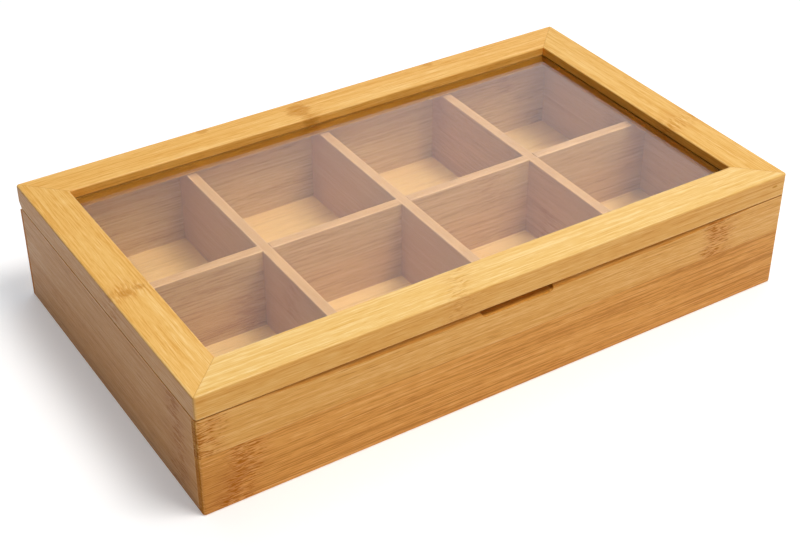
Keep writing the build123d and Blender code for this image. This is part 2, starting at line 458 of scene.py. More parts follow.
@dataclass(frozen=True)
class BambooFinish:
    """Lacquered bamboo of one board: long fibres, glued strips, nodes and burnished edges.

    along is the direction of the fibres, and across the direction in which strips lie side by
    side. shift moves the pattern so that no two boards are alike. Upright faces further than
    inner_from from the middle of the box's outline take the side tint, nearer ones the inner
    and the lining's colours if there is one, and of those the ones lower than under_from take
    the under tint. The side, inner, under and slant tints are painted shade and light.

    A Grain is a layer of noise, and a depth is how much a mark shows. A node has a halo of
    stained ground, at least halo_least of it between clouds, and dashes in the rows of a comb.
    wander and swirl are how far the fibres bend, and slant is the upward part of a chamfer's
    direction. The paler edges are partly burnish wear and partly a painted highlight.
    """

    colours: BambooColours
    along: Axis
    across: Axis
    strips: tuple[Strip, ...]
    shift: float
    contrast: float = 1.0
    shades: Shades = Shades()
    lining: BambooColours | None = None
    inner_from: float = 0.0
    under_from: float = -1.0
    stains_and_shade: tuple[StainOrShade, ...] = ()
    mitred: bool = False
    glued_ends: bool = False
    lacquer: Lacquer = Lacquer()
    bands: Grain = Grain(0.16, 0.0060, offset=0.0, share=0.46)
    streaks: Grain = Grain(0.11, 0.00105, offset=3.0, share=0.62)
    fibres: Grain = Grain(0.026, 0.00058, offset=7.0, share=0.85)
    dashes: Grain = Grain(0.0075, 0.00050, offset=9.0, share=0.75)
    pores: Grain = Grain(0.011, 0.00030, offset=11.0, share=0.36)
    twists: Grain = Grain(0.0060, 0.0040, offset=15.0)
    flecks: Grain = Grain(0.0048, 0.00080, offset=35.0)
    clouds: Grain = Grain(0.0080, 0.0040, offset=41.0)
    warm_tint: Colour = (1.0, 0.84, 0.62)
    halo_tint: Colour = (0.80, 0.60, 0.34)
    halo_depth: float = 0.70
    halo_least: float = 0.4
    knot_depth: float = 0.50
    pale_knot_depth: float = 0.4
    line_depth: float = 0.5
    edge_depth: float = 0.25
    wander: float = 0.0016
    swirl: float = 0.0020
    knot_half_width: float = 0.0130
    knot_scallop: float = 0.0060
    knot_offset: float = 20.0
    knot_wave: float = 0.0045
    knot_lopsided: float = 1.4
    knot_halo: float = 0.019
    crowding: float = 0.08
    comb_pitch: float = 0.00165
    comb_drift: float = 3.0
    comb_share: float = 0.075
    stain_and_shade_ragged: float = 2.0
    slant: float = 0.575
    slant_margin: float = 0.2
    glue_half_width: float = 0.00022
    edge_width: float = 0.0013

    def material(self, name: str, low: Vector, high: Vector) -> bpy.types.Material:
        """Makes the board's material.

        Args:
            name: the material's name.
            low: the board's lowest corner.
            high: the board's highest corner.

        Returns:
            The material.
        """
        sheet = ShaderSheet(name)
        coordinates = sheet.add("ShaderNodeTexCoord")
        parts = sheet.split(coordinates.outputs["Object"])
        facing = sheet.split(coordinates.outputs["Normal"])
        through = next(axis for axis in Axis if axis not in (self.along, self.across))
        place = Place(*(parts[axis.value] for axis in (self.along, self.across, through)))
        outward = Axis.Y if self.along is Axis.X else Axis.X

        wood = self._wood(sheet, place)
        upright = sheet.ramp(sheet.math("ABSOLUTE", facing[Axis.Z.value]), *FADES.upright)
        off = sheet.math("ABSOLUTE", parts[outward.value])
        inside = sheet.math("LESS_THAN", off, self.inner_from)
        end_grain = sheet.ramp(sheet.math("ABSOLUTE", facing[self.along.value]), *FADES.end_grain)
        marked = sheet.math("MULTIPLY", wood.dark_knot, self.knot_depth)
        # Brown marks: real stains, and painted shade inside the finger notch.
        stain_and_shade = self._stain_and_shade_depth(sheet, place, wood.flecks)
        lines = self._lines(sheet, parts, low, high, wood.glue)
        edges = self._edges(sheet, parts, low, high)

        colour = self._wood_colour(sheet, wood, sheet.math("MULTIPLY", upright, inside), marked)
        # Painted shade and light: upright faces tinted by where they lie, chamfers darkened.
        colour = self._painted_shade(sheet, colour, parts, facing, upright, inside)
        colour = sheet.mix(end_grain, colour, self.shades.end, "MULTIPLY")
        colour = sheet.mix(stain_and_shade, colour, self.colours.knot)
        lined = sheet.math("MULTIPLY", lines, self.line_depth)
        # Paler edges: burnish wear and a painted highlight.
        worn_and_highlit = sheet.math("MULTIPLY", edges, self.edge_depth)
        colour = sheet.mix(lined, colour, self.colours.knot)
        colour = sheet.mix(worn_and_highlit, colour, self.colours.pale)
        dull = sheet.math("MAXIMUM", sheet.math("MAXIMUM", marked, stain_and_shade), end_grain)
        self.lacquer.cover(sheet, wood, colour, dull, lines)
        return sheet.material

    def _wood(self, sheet: ShaderSheet, place: Place) -> Wood:
        """Reads the strips, the nodes and the noises at a point.

        The level is the strip's tone plus, for each layer, twice its share times its noise
        less a half. Dark dashes lie where the flecks plus the crowding round a node are high.

        Args:
            sheet: the material being made.
            place: where the point lies.

        Returns:
            What the wood shows.
        """
        level, warm, streaky, glue = self._strip_fields(sheet, place)
        density, halo = self._nodes(sheet, place)
        bands = self._cells(sheet, place, self.bands)
        bent_place = self._bend(sheet, place, bands, halo)
        streaks, fibres, dashes, pores, flecks = (
            self._cells(sheet, bent_place, layer)
            for layer in (self.streaks, self.fibres, self.dashes, self.pores, self.flecks)
        )
        streak_share = sheet.math("MULTIPLY", streaky, 2 * self.streaks.share * self.contrast)
        centred = sheet.math("SUBTRACT", streaks, 0.5)
        level = sheet.math("MULTIPLY_ADD", centred, streak_share, level)
        for noise, layer in ((bands, self.bands), (fibres, self.fibres), (dashes, self.dashes)):
            centred = sheet.math("SUBTRACT", noise, 0.5)
            level = sheet.math("MULTIPLY_ADD", centred, 2 * layer.share * self.contrast, level)
        pits = sheet.ramp(pores, *FADES.pits)
        level = sheet.math("MULTIPLY_ADD", pits, -self.pores.share * self.contrast, level)

        clouds = sheet.ramp(self._cells(sheet, place, self.clouds), *FADES.clouds)
        crowd = sheet.math("MULTIPLY_ADD", clouds, self.crowding, self.crowding)
        crowd = sheet.math("MULTIPLY_ADD", self._comb(sheet, place, clouds), self.comb_share, crowd)
        dark = sheet.ramp(sheet.math("MULTIPLY_ADD", crowd, density, flecks), *FADES.dark_flecks)
        dark_knot = sheet.math("MULTIPLY", dark, sheet.ramp(density, *FADES.knot_core))
        pale_knot = sheet.math("MULTIPLY", sheet.ramp(flecks, *FADES.pale_flecks), density)
        cloudy = sheet.math("MULTIPLY_ADD", clouds, 1 - self.halo_least, self.halo_least)
        ground = sheet.math("MULTIPLY", cloudy, halo)
        return Wood(level, warm, fibres, dashes, flecks, glue, pits, dark_knot, pale_knot, ground)

    def _wood_colour(self, sheet: ShaderSheet, wood: Wood, lined: Value, marked: Value) -> Socket:
        """Colour of fibres and nodes, before the tints of single faces.

        Args:
            sheet: the material being made.
            wood: what the wood shows.
            lined: 1 where the lining's colours hold.
            marked: how much the dark dashes show.

        Returns:
            The colour.
        """
        colour = self._fibre_colour(sheet, self.colours, wood)
        if self.lining:
            colour = sheet.mix(lined, colour, self._fibre_colour(sheet, self.lining, wood))
        halo = sheet.math("MULTIPLY", wood.ground, self.halo_depth)
        colour = sheet.mix(halo, colour, self.halo_tint, "MULTIPLY")
        colour = sheet.mix(marked, colour, self.colours.knot)
        pale = sheet.math("MULTIPLY", wood.pale_knot, self.pale_knot_depth)
        return sheet.mix(pale, colour, self.colours.pale)

    def _fibre_colour(self, sheet: ShaderSheet, colours: BambooColours, wood: Wood) -> Socket:
        """Colour of the fibres: dark, middle or pale by the level, and reddened where warm.

        Args:
            sheet: the material being made.
            colours: the fibres' colours.
            wood: what the wood shows.

        Returns:
            The colour.
        """
        colour = sheet.mix(sheet.ramp(wood.level, *FADES.dark_fibres), colours.dark, colours.middle)
        colour = sheet.mix(sheet.ramp(wood.level, *FADES.pale_fibres), colour, colours.pale)
        return sheet.mix(sheet.math("MINIMUM", wood.warm, 1.0), colour, self.warm_tint, "MULTIPLY")

    # Paints shade and light into the colour of upright faces and chamfers.
    def _painted_shade(
        self, sheet: ShaderSheet, colour: Value, parts: list[Value], facing: list[Value],
        upright: Value, inside: Value,
    ) -> Socket:
        """Tints single faces, told by the way they face and by their distance from the middle.

        Args:
            sheet: the material being made.
            colour: the colour so far.
            parts: the three object coordinates.
            facing: the three parts of the surface's direction.
            upright: 1 on upright faces, 0 on level ones.
            inside: 1 nearer the middle of the box than inner_from.

        Returns:
            The tinted colour.
        """
        below = sheet.math("LESS_THAN", parts[Axis.Z.value], self.under_from)
        tint = sheet.mix(below, self.shades.inner, self.shades.under)
        tint = sheet.mix(inside, self.shades.side, tint)
        colour = sheet.mix(upright, colour, tint, "MULTIPLY")
        slanted = sheet.math("COMPARE", facing[Axis.Z.value], self.slant, self.slant_margin)
        return sheet.mix(slanted, colour, self.shades.slant, "MULTIPLY")

    def _cells(self, sheet: ShaderSheet, place: Place, grain: Grain) -> Socket:
        """Noise whose cells are long with the grain and narrow across it.

        Args:
            sheet: the material being made.
            place: where the point lies.
            grain: the layer.

        Returns:
            The noise socket.
        """
        parts = (
            sheet.math("MULTIPLY_ADD", place.along, 1 / grain.length, self.shift + grain.offset),
            sheet.math("MULTIPLY", place.across, 1 / grain.width),
            sheet.math("MULTIPLY", place.into, 1 / grain.width),
        )
        return sheet.noise(sheet.vector(*parts))

    def _bend(self, sheet: ShaderSheet, place: Place, bands: Value, halo: Value) -> Place:
        """Place with the fibres bent: they wander with the bands and swirl round the nodes.

        Args:
            sheet: the material being made.
            place: where the point lies.
            bands: noise of the broad bands.
            halo: how near a node is, from 0 to 1.

        Returns:
            The bent place.
        """
        twist = sheet.math("SUBTRACT", self._cells(sheet, place, self.twists), 0.5)
        twist = sheet.math("MULTIPLY", sheet.math("MULTIPLY", twist, halo), self.swirl)
        wander = sheet.math("MULTIPLY_ADD", sheet.math("SUBTRACT", bands, 0.5), self.wander, twist)
        return Place(place.along, sheet.math("ADD", place.across, wander), place.into)

    def _strip_fields(self, sheet: ShaderSheet, place: Place) -> tuple[Value, Value, Value, Value]:
        """Tone, warmth, streakiness and glue lines of all strips.

        A strip's share is 1 between its two edges, and a glue line's is 1 on its upper edge.

        Args:
            sheet: the material being made.
            place: where the point lies.

        Returns:
            Sockets of the tone, the warmth, the streakiness and the glue lines.
        """
        tone, warm, streaky, glue = 0.5, 0.0, 0.0, 0.0
        for strip in self.strips:
            inside = self._inside(sheet, place, strip)
            tone = sheet.math("MULTIPLY_ADD", inside, strip.tone, tone)
            warm = sheet.math("MULTIPLY_ADD", inside, strip.warm, warm)
            streaky = sheet.math("MULTIPLY_ADD", inside, strip.streaky, streaky)
            line = sheet.math("ABSOLUTE", sheet.math("SUBTRACT", place.across, strip.high))
            glue = sheet.math("ADD", glue, sheet.ramp(line, self.glue_half_width, 0.0))
        return tone, warm, streaky, glue

    def _inside(self, sheet: ShaderSheet, place: Place, strip: Strip) -> Socket:
        """Socket that is 1 in the strip and 0 beside it."""
        off = sheet.math("SUBTRACT", place.across, (strip.low + strip.high) / 2)
        return sheet.math("LESS_THAN", sheet.math("ABSOLUTE", off), (strip.high - strip.low) / 2)

    def _nodes(self, sheet: ShaderSheet, place: Place) -> tuple[Value, Value]:
        """How near each point is to one of the bamboo's nodes.

        A node is a line that leans and waves across its strip. The distance from it along the
        grain counts more on one side than on the other, so that the flecks reach further there.

        Args:
            sheet: the material being made.
            place: where the point lies.

        Returns:
            Sockets that fall from 1 on the node to 0, of the flecks and of the stained ground.
        """
        narrow = (
            self.shift + self.knot_offset,
            sheet.math("MULTIPLY", place.across, 1 / self.knot_scallop),
            sheet.math("MULTIPLY", place.into, 1 / self.knot_scallop),
        )
        wave = sheet.math("SUBTRACT", sheet.noise(sheet.vector(*narrow)), 0.5)
        waved = sheet.math("MULTIPLY_ADD", wave, 2 * self.knot_wave, place.along)
        density, halo = 0.0, 0.0
        for strip in self.strips:
            if not strip.knots:
                continue
            inside = self._inside(sheet, place, strip)
            slope = strip.lean / (strip.high - strip.low)
            middle = (strip.low + strip.high) / 2
            leant = sheet.math("MULTIPLY_ADD", place.across, -slope, waved)
            for along in strip.knots:
                off = sheet.math("SUBTRACT", leant, along - middle * slope)
                away = sheet.math("MAXIMUM", off, sheet.math("MULTIPLY", off, -self.knot_lopsided))
                near = sheet.ramp(away, self.knot_half_width, 0.0)
                wide = sheet.ramp(away, self.knot_halo, 0.0)
                density = sheet.math("MULTIPLY_ADD", near, inside, density)
                halo = sheet.math("MULTIPLY_ADD", wide, inside, halo)
        return density, halo

    def _comb(self, sheet: ShaderSheet, place: Place, clouds: Value) -> Socket:
        """Even rows across the grain, on which the dashes of a node lie.

        The value is the sine of the distance across the grain over the comb's pitch, plus a
        phase that drifts with the clouds.

        Args:
            sheet: the material being made.
            place: where the point lies.
            clouds: noise of broad cells.

        Returns:
            A socket between -1 and 1.
        """
        turns = sheet.math("MULTIPLY", place.across, math.tau / self.comb_pitch)
        return sheet.math("SINE", sheet.math("MULTIPLY_ADD", clouds, self.comb_drift, turns))

    def _stain_and_shade_depth(self, sheet: ShaderSheet, place: Place, flecks: Value) -> Value:
        """Depth of the brown marks.

        The marks are real stains, and one is painted shade inside the finger notch. The squares
        of the three distances from a mark's middle, each over its half size, add up to 1 on its
        rim, which noise makes uneven.

        Args:
            sheet: the material being made.
            place: where the point lies.
            flecks: noise of small cells.

        Returns:
            A socket, or 0 where there is no mark.
        """
        depth = 0.0
        for stain_or_shade in self.stains_and_shade:
            total = sheet.math("MULTIPLY", sheet.math("SUBTRACT", flecks, 0.5), self.stain_and_shade_ragged)
            for part, middle, half in (
                (place.along, stain_or_shade.along, stain_or_shade.length),
                (place.across, stain_or_shade.across, stain_or_shade.width),
                (place.into, stain_or_shade.into, stain_or_shade.width),
            ):
                off = sheet.math("DIVIDE", sheet.math("SUBTRACT", part, middle), half)
                total = sheet.math("MULTIPLY_ADD", off, off, total)
            depth = sheet.math("MULTIPLY_ADD", sheet.ramp(total, *FADES.stains_and_shade), stain_or_shade.depth, depth)
        return depth

    def _lines(
        self, sheet: ShaderSheet, parts: list[Value], low: Vector, high: Vector, glue: Value
    ) -> Socket:
        """Glue lines between strips, along mitres and at glued ends.

        Args:
            sheet: the material being made.
            parts: the three object coordinates.
            low: the board's lowest corner.
            high: the board's highest corner.
            glue: lines between the strips.

        Returns:
            A socket that is 1 on the lines.
        """
        lines = glue
        if self.mitred:
            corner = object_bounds()[1]
            offs = (sheet.math("ABSOLUTE", parts[axis.value]) for axis in (Axis.X, Axis.Y))
            gaps = (sheet.math("SUBTRACT", most, off) for most, off in zip(corner, offs))
            off = sheet.math("ABSOLUTE", sheet.math("SUBTRACT", *gaps))
            lines = sheet.math("ADD", lines, sheet.ramp(off, 2 * self.glue_half_width, 0.0))
        if self.glued_ends:
            along = parts[self.along.value]
            start, stop = low[self.along.value], high[self.along.value]
            gaps = sheet.math("SUBTRACT", along, start), sheet.math("SUBTRACT", stop, along)
            near = sheet.math("MINIMUM", *gaps)
            lines = sheet.math("ADD", lines, sheet.ramp(near, 2 * self.glue_half_width, 0.0))
        return sheet.math("MINIMUM", lines, 1.0)

    def _edges(self, sheet: ShaderSheet, parts: list[Value], low: Vector, high: Vector) -> Socket:
        """Burnish along the board's edges.

        The edges are paler, partly from burnish wear and partly as a painted highlight. The
        distance to the nearer face is taken on each axis. The sum of two such distances is
        small only near an edge.

        Args:
            sheet: the material being made.
            parts: the three object coordinates.
            low: the board's lowest corner.
            high: the board's highest corner.

        Returns:
            A socket that is 1 on the edges.
        """
        gaps = []
        for part, start, stop in zip(parts, low, high):
            ends = sheet.math("SUBTRACT", part, start), sheet.math("SUBTRACT", stop, part)
            gaps.append(sheet.math("MINIMUM", *ends))
        sums = [sheet.math("ADD", gaps[i], gaps[(i + 1) % 3]) for i in range(3)]
        nearest = sheet.math("MINIMUM", sheet.math("MINIMUM", sums[0], sums[1]), sums[2])
        return sheet.ramp(nearest, self.edge_width, 0.0)


@dataclass(frozen=True)
class ClearFinish:
    """Polished clear acrylic that lets the lamps reach what lies below it."""

    tint: Colour = (0.97, 0.97, 0.98)
    lamp_tint: Colour = (0.66, 0.67, 0.68)
    refraction: float = 1.49
    roughness: float = 0.006
    smears_per_metre: float = 14.0
    smear_levels: Levels = (0.3, 0.7)
    smear_change: float = 2.0
    wave_strength: float = 0.05
    wave_depth: float = 0.0002

    def material(self, name: str) -> bpy.types.Material:
        """Makes the pane's material.

        Args:
            name: the material's name.

        Returns:
            The material.
        """
        sheet = ShaderSheet(name)
        place = sheet.add("ShaderNodeTexCoord").outputs["Object"]
        scaled = sheet.add("ShaderNodeVectorMath", operation="SCALE")
        sheet.feed(scaled.inputs[0], place)
        sheet.feed(scaled.inputs["Scale"], self.smears_per_metre)
        wave = sheet.noise(scaled.outputs[0], detail=1.0)
        glass = sheet.principled(Base_Color=self.tint, IOR=self.refraction, Transmission_Weight=1.0)
        smeared = self.roughness * self.smear_change
        smears = sheet.ramp(wave, *self.smear_levels, self.roughness, smeared)
        sheet.feed(glass.inputs["Roughness"], smears)
        sheet.feed(glass.inputs["Normal"], sheet.bump(wave, self.wave_strength, self.wave_depth))
        through = sheet.add("ShaderNodeBsdfTransparent")
        sheet.feed(through.inputs["Color"], self.lamp_tint)
        choice = sheet.add("ShaderNodeMixShader")
        sheet.feed(choice.inputs[0], sheet.add("ShaderNodeLightPath").outputs["Is Shadow Ray"])
        sheet.feed(choice.inputs[1], glass.outputs[0])
        sheet.feed(choice.inputs[2], through.outputs[0])
        sheet.feed(sheet.output.inputs["Surface"], choice.outputs[0])
        return sheet.material


@dataclass(frozen=True)
class BrassFinish:
    """Stamped brass with fine brush lines and faint tarnish, and crossed recesses in screws.

    lines are the brush's noise cells per metre on the three axes, and clouds the tarnish's.
    The crossed recesses and the rim round each screw head are painted as dark shade.
    The recess's arm, its half width and the start of the rim are shares of a head's radius.
    """

    bright: Colour = (0.80, 0.60, 0.26)
    tarnished: Colour = (0.62, 0.43, 0.17)
    # Colour of the painted shade in the screw recesses and rims.
    recess_shade: Colour = (0.03, 0.02, 0.01)
    lines: Point = (160.0, 7000.0, 7000.0)
    line_levels: Levels = (0.3, 0.7)
    clouds: Point = (380.0, 380.0, 380.0)
    cloud_detail: float = 3.0
    cloud_levels: Levels = (0.68, 0.32)
    roughness: float = 0.30
    smooth_change: float = -0.06
    rough_change: float = 0.10
    strength: float = 0.2
    depth: float = 0.00002
    recess_arm: float = 0.62
    recess_half_width: float = 0.13
    rim_from: float = 0.86

    def material(
        self, name: str, screws: tuple[Vector, Vector] | None = None
    ) -> bpy.types.Material:
        """Makes the metal's material.

        Args:
            name: the material's name.
            screws: lowest and highest corner round a pair of screws, for the painted shade of a
                crossed recess in each head and of a dark line round it.

        Returns:
            The material.
        """
        sheet = ShaderSheet(name)
        parts = sheet.split(sheet.add("ShaderNodeTexCoord").outputs["Object"])
        brushed = sheet.cells(parts, self.lines)
        cloud = sheet.cells(parts, self.clouds, self.cloud_detail)
        metal = sheet.principled(Metallic=1.0)
        colour = sheet.mix(sheet.ramp(cloud, *self.cloud_levels), self.bright, self.tarnished)
        if screws:
            # Painted shade of the crossed recesses and of the rim round each screw head.
            recess_shade_mask = self._painted_recess(sheet, parts[Axis.X.value], parts[Axis.Y.value], *screws)
            colour = sheet.mix(recess_shade_mask, colour, self.recess_shade)
        sheet.feed(metal.inputs["Base Color"], colour)
        smooth, rough = self.roughness + self.smooth_change, self.roughness + self.rough_change
        sheet.feed(metal.inputs["Roughness"], sheet.ramp(brushed, *self.line_levels, smooth, rough))
        sheet.feed(metal.inputs["Normal"], sheet.bump(brushed, self.strength, self.depth))
        sheet.feed(sheet.output.inputs["Surface"], metal.outputs[0])
        return sheet.material

    def _painted_recess(self, sheet: ShaderSheet, u: Value, v: Value, low: Vector, high: Vector) -> Socket:
        """Crossed recess and rim of both screw heads.

        The recess and the rim are painted shade. Both heads are folded onto one by the distance
        from the middle between them. With p and q as the distances from its axis over its
        radius, the arms lie where the smaller is below their half width and the larger below
        their reach, and the rim where the root of p squared plus q squared is near 1.

        Args:
            sheet: the material being made.
            u: the coordinate along the hinge.
            v: the coordinate across it.
            low: lowest corner of the pair.
            high: highest corner of the pair.

        Returns:
            A socket that is 1 in the recess and on the rim.
        """
        radius = (high.y - low.y) / 2
        from_middle = sheet.math("ABSOLUTE", sheet.math("SUBTRACT", u, (low.x + high.x) / 2))
        offs = (
            sheet.math("SUBTRACT", from_middle, (high.x - low.x) / 2 - radius),
            sheet.math("SUBTRACT", v, (low.y + high.y) / 2),
        )
        p, q = (sheet.math("DIVIDE", sheet.math("ABSOLUTE", off), radius) for off in offs)
        thin = sheet.math("LESS_THAN", sheet.math("MINIMUM", p, q), self.recess_half_width)
        short = sheet.math("LESS_THAN", sheet.math("MAXIMUM", p, q), self.recess_arm)
        arms = sheet.math("MULTIPLY", thin, short)
        reach = sheet.math("SQRT", sheet.math("MULTIPLY_ADD", p, p, sheet.math("MULTIPLY", q, q)))
        return sheet.math("MAXIMUM", arms, sheet.math("GREATER_THAN", reach, self.rim_from))


def dress(nodes: dict, node: str, material: bpy.types.Material) -> None:
    """Puts a material in a solid's only slot.

    Args:
        nodes: the frame's objects by node name.
        node: the node to dress.
        material: its new material.
    """
    mesh = nodes[node].data
    mesh.materials.clear()
    mesh.materials.append(material)
    LOG.info("%s dressed in %s", node, material.name)


def plain_strips(
    low: float, high: float, width: float, reach: float, seed: int, tone: float = 0.0
) -> tuple[Strip, ...]:
    """Strips of one width with seeded tones and node places.

    Args:
        low: where the first strip starts.
        high: where the last one ends.
        width: the usual width of a strip.
        reach: nodes lie between minus and plus this, along the grain.
        seed: of the random numbers.
        tone: added to the tone of every strip.

    Returns:
        The strips in order.
    """
    draw = np.random.default_rng(seed)
    count = max(1, round((high - low) / width))
    edges = np.linspace(low, high, count + 1)
    return tuple(
        Strip(
            start, stop,
            tone=tone + draw.uniform(-STRIP_TONE, STRIP_TONE),
            warm=draw.uniform(0.0, STRIP_WARMTH),
            knots=(draw.uniform(-reach, reach),),
            lean=draw.uniform(-STRIP_LEAN, STRIP_LEAN) * MM,
        )
        for start, stop in zip(edges, edges[1:])
    )


@dataclass
class Boards:
    """The four boards, the floor and the partitions."""

    nodes: dict
    front_joint: float = 32.7 * MM
    end_joint: float = 27.0 * MM
    strip_width: float = 21.0 * MM
    long_reach: float = 160.0 * MM
    divider_reach: float = 150.0 * MM
    cross_reach: float = 90.0 * MM
    cross_seed: int = 30
    cross_shift: float = 1.7
    front_upper_knots: tuple[float, ...] = (-166.5 * MM, 122.0 * MM)
    front_lower_knots: tuple[float, ...] = (-149.5 * MM,)
    left_knots: tuple[float, ...] = (-80.0 * MM,)
    right_knots: tuple[float, ...] = (22.0 * MM,)
    # Tints of painted shade and light for upright, inner and chamfer faces; end is the end grain's
    # own colour.
    front_shades: Shades = Shades(
        inner=(0.79, 0.79, 0.63), slant=(0.77, 0.65, 0.50), end=(0.64, 0.58, 0.37)
    )
    end_shades: Shades = Shades(side=(0.65, 0.58, 0.44), inner=(0.80, 0.79, 0.80))
    long_shades: Shades = Shades(side=(0.80, 0.765, 0.62), inner=(0.80, 0.765, 0.62))
    back_shades: Shades = Shades(side=(0.96, 0.92, 0.80), inner=(0.79, 0.79, 0.63))
    cross_shades: Shades = Shades(side=(0.79, 0.75, 0.79))
    cross_tones: dict[str, float] = field(
        default_factory=lambda: {"left": 0.25, "middle": 0.10, "right": -0.20}
    )
    # Painted shade: darkens the inside of the finger notch, where the lid shades it.
    notch_painted_shade: StainOrShade = StainOrShade(0.0, 53.0 * MM, -92.5 * MM, 40.0 * MM, 4.6 * MM, 0.46)
    end_scorch: StainOrShade = StainOrShade(-164.0 * MM, 15.0 * MM, -100.0 * MM, 17.0 * MM, 19.0 * MM, 0.30)

    def front_board(self) -> BambooFinish:
        """Two strips of different tone, with nodes near both ends.

        Returns:
            The board's finish.
        """
        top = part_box("front_wall")[1].z
        joint = self.front_joint
        strips = (
            Strip(
                0.0, joint, tone=-0.16, warm=0.65, knots=self.front_lower_knots, lean=9 * MM,
                streaky=1.9,
            ),
            Strip(
                joint, top, tone=0.14, warm=0.15, knots=self.front_upper_knots, lean=2 * MM,
                streaky=0.6,
            ),
        )
        return BambooFinish(
            BOARD_BAMBOO, Axis.X, Axis.Z, strips, shift=1.3, shades=self.front_shades,
            lining=INNER_BAMBOO, inner_from=self.middle("back_wall", Axis.Y),
            stains_and_shade=(self.notch_painted_shade, self.end_scorch), knot_depth=0.72, knot_half_width=17 * MM,
        )

    def end_board(
        self, node: str, knots: tuple[float, ...], shift: float, contrast: float
    ) -> BambooFinish:
        """Two strips that run from front to back.

        Args:
            node: the board's node.
            knots: places of the nodes.
            shift: of the pattern.
            contrast: of the grain.

        Returns:
            The board's finish.
        """
        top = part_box(node)[1].z
        strips = (
            Strip(0.0, self.end_joint, tone=-0.04, warm=0.2, knots=knots, lean=-3 * MM),
            Strip(self.end_joint, top, tone=0.02, warm=0.1, knots=knots, lean=2 * MM),
        )
        return BambooFinish(
            BOARD_BAMBOO, Axis.Y, Axis.Z, strips, shift, contrast, self.end_shades,
            lining=INNER_BAMBOO, inner_from=self.middle("right_wall", Axis.X), glued_ends=True,
            knot_depth=0.30, halo_depth=0.5,
        )

    def middle(self, node: str, axis: Axis) -> float:
        """Where the middle of a board's thickness lies on an axis."""
        low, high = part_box(node)
        return (low[axis.value] + high[axis.value]) / 2

    def build(self) -> None:
        """Dresses every board."""
        low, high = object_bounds()
        wall_low, wall_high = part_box("back_wall")
        divider_low, divider_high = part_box("long_divider")
        divider = divider_low.z, divider_high.z, self.strip_width
        finishes = {
            "front_wall": self.front_board(),
            "left_wall": self.end_board("left_wall", self.left_knots, shift=5.1, contrast=0.72),
            "right_wall": self.end_board("right_wall", self.right_knots, shift=9.7, contrast=0.7),
            "back_wall": BambooFinish(
                BOARD_BAMBOO, Axis.X, Axis.Z,
                plain_strips(wall_low.z, wall_high.z, self.strip_width, self.long_reach, seed=4),
                shift=14.9, contrast=1.1, shades=self.back_shades, lining=INNER_BAMBOO,
                inner_from=self.middle("back_wall", Axis.Y), knot_depth=0.3, halo_depth=0.5,
            ),
            "bottom_panel": BambooFinish(
                FLOOR_BAMBOO, Axis.X, Axis.Y,
                plain_strips(low.y, high.y, self.strip_width, self.long_reach, seed=8),
                shift=21.3, contrast=0.6, knot_depth=0.3, halo_depth=0.5,
            ),
            "long_divider": BambooFinish(
                INNER_BAMBOO, Axis.X, Axis.Z, plain_strips(*divider, self.divider_reach, seed=12),
                shift=27.7, contrast=0.95, shades=self.long_shades, knot_depth=0.2, halo_depth=0.4,
            ),
        }
        for seed, (name, tone) in enumerate(self.cross_tones.items(), self.cross_seed):
            finishes[f"cross_divider_{name}"] = BambooFinish(
                INNER_BAMBOO, Axis.Y, Axis.Z, plain_strips(*divider, self.cross_reach, seed, tone),
                shift=self.cross_shift * seed, contrast=0.5, shades=self.cross_shades,
                knot_depth=0.16, halo_depth=0.4,
            )
        for node, finish in finishes.items():
            dress(self.nodes, node, finish.material(f"bamboo_{node}", *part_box(node)))


@dataclass(frozen=True)
class RailPlan:
    """One rail's pattern: its direction, node, the node's lean, its tone, warmth and shift."""

    along: Axis
    knot: float
    lean: float
    tone: float
    warm: float
    shift: float

    @property
    def across(self) -> Axis:
        """The level direction across the grain."""
        return Axis.Y if self.along is Axis.X else Axis.X


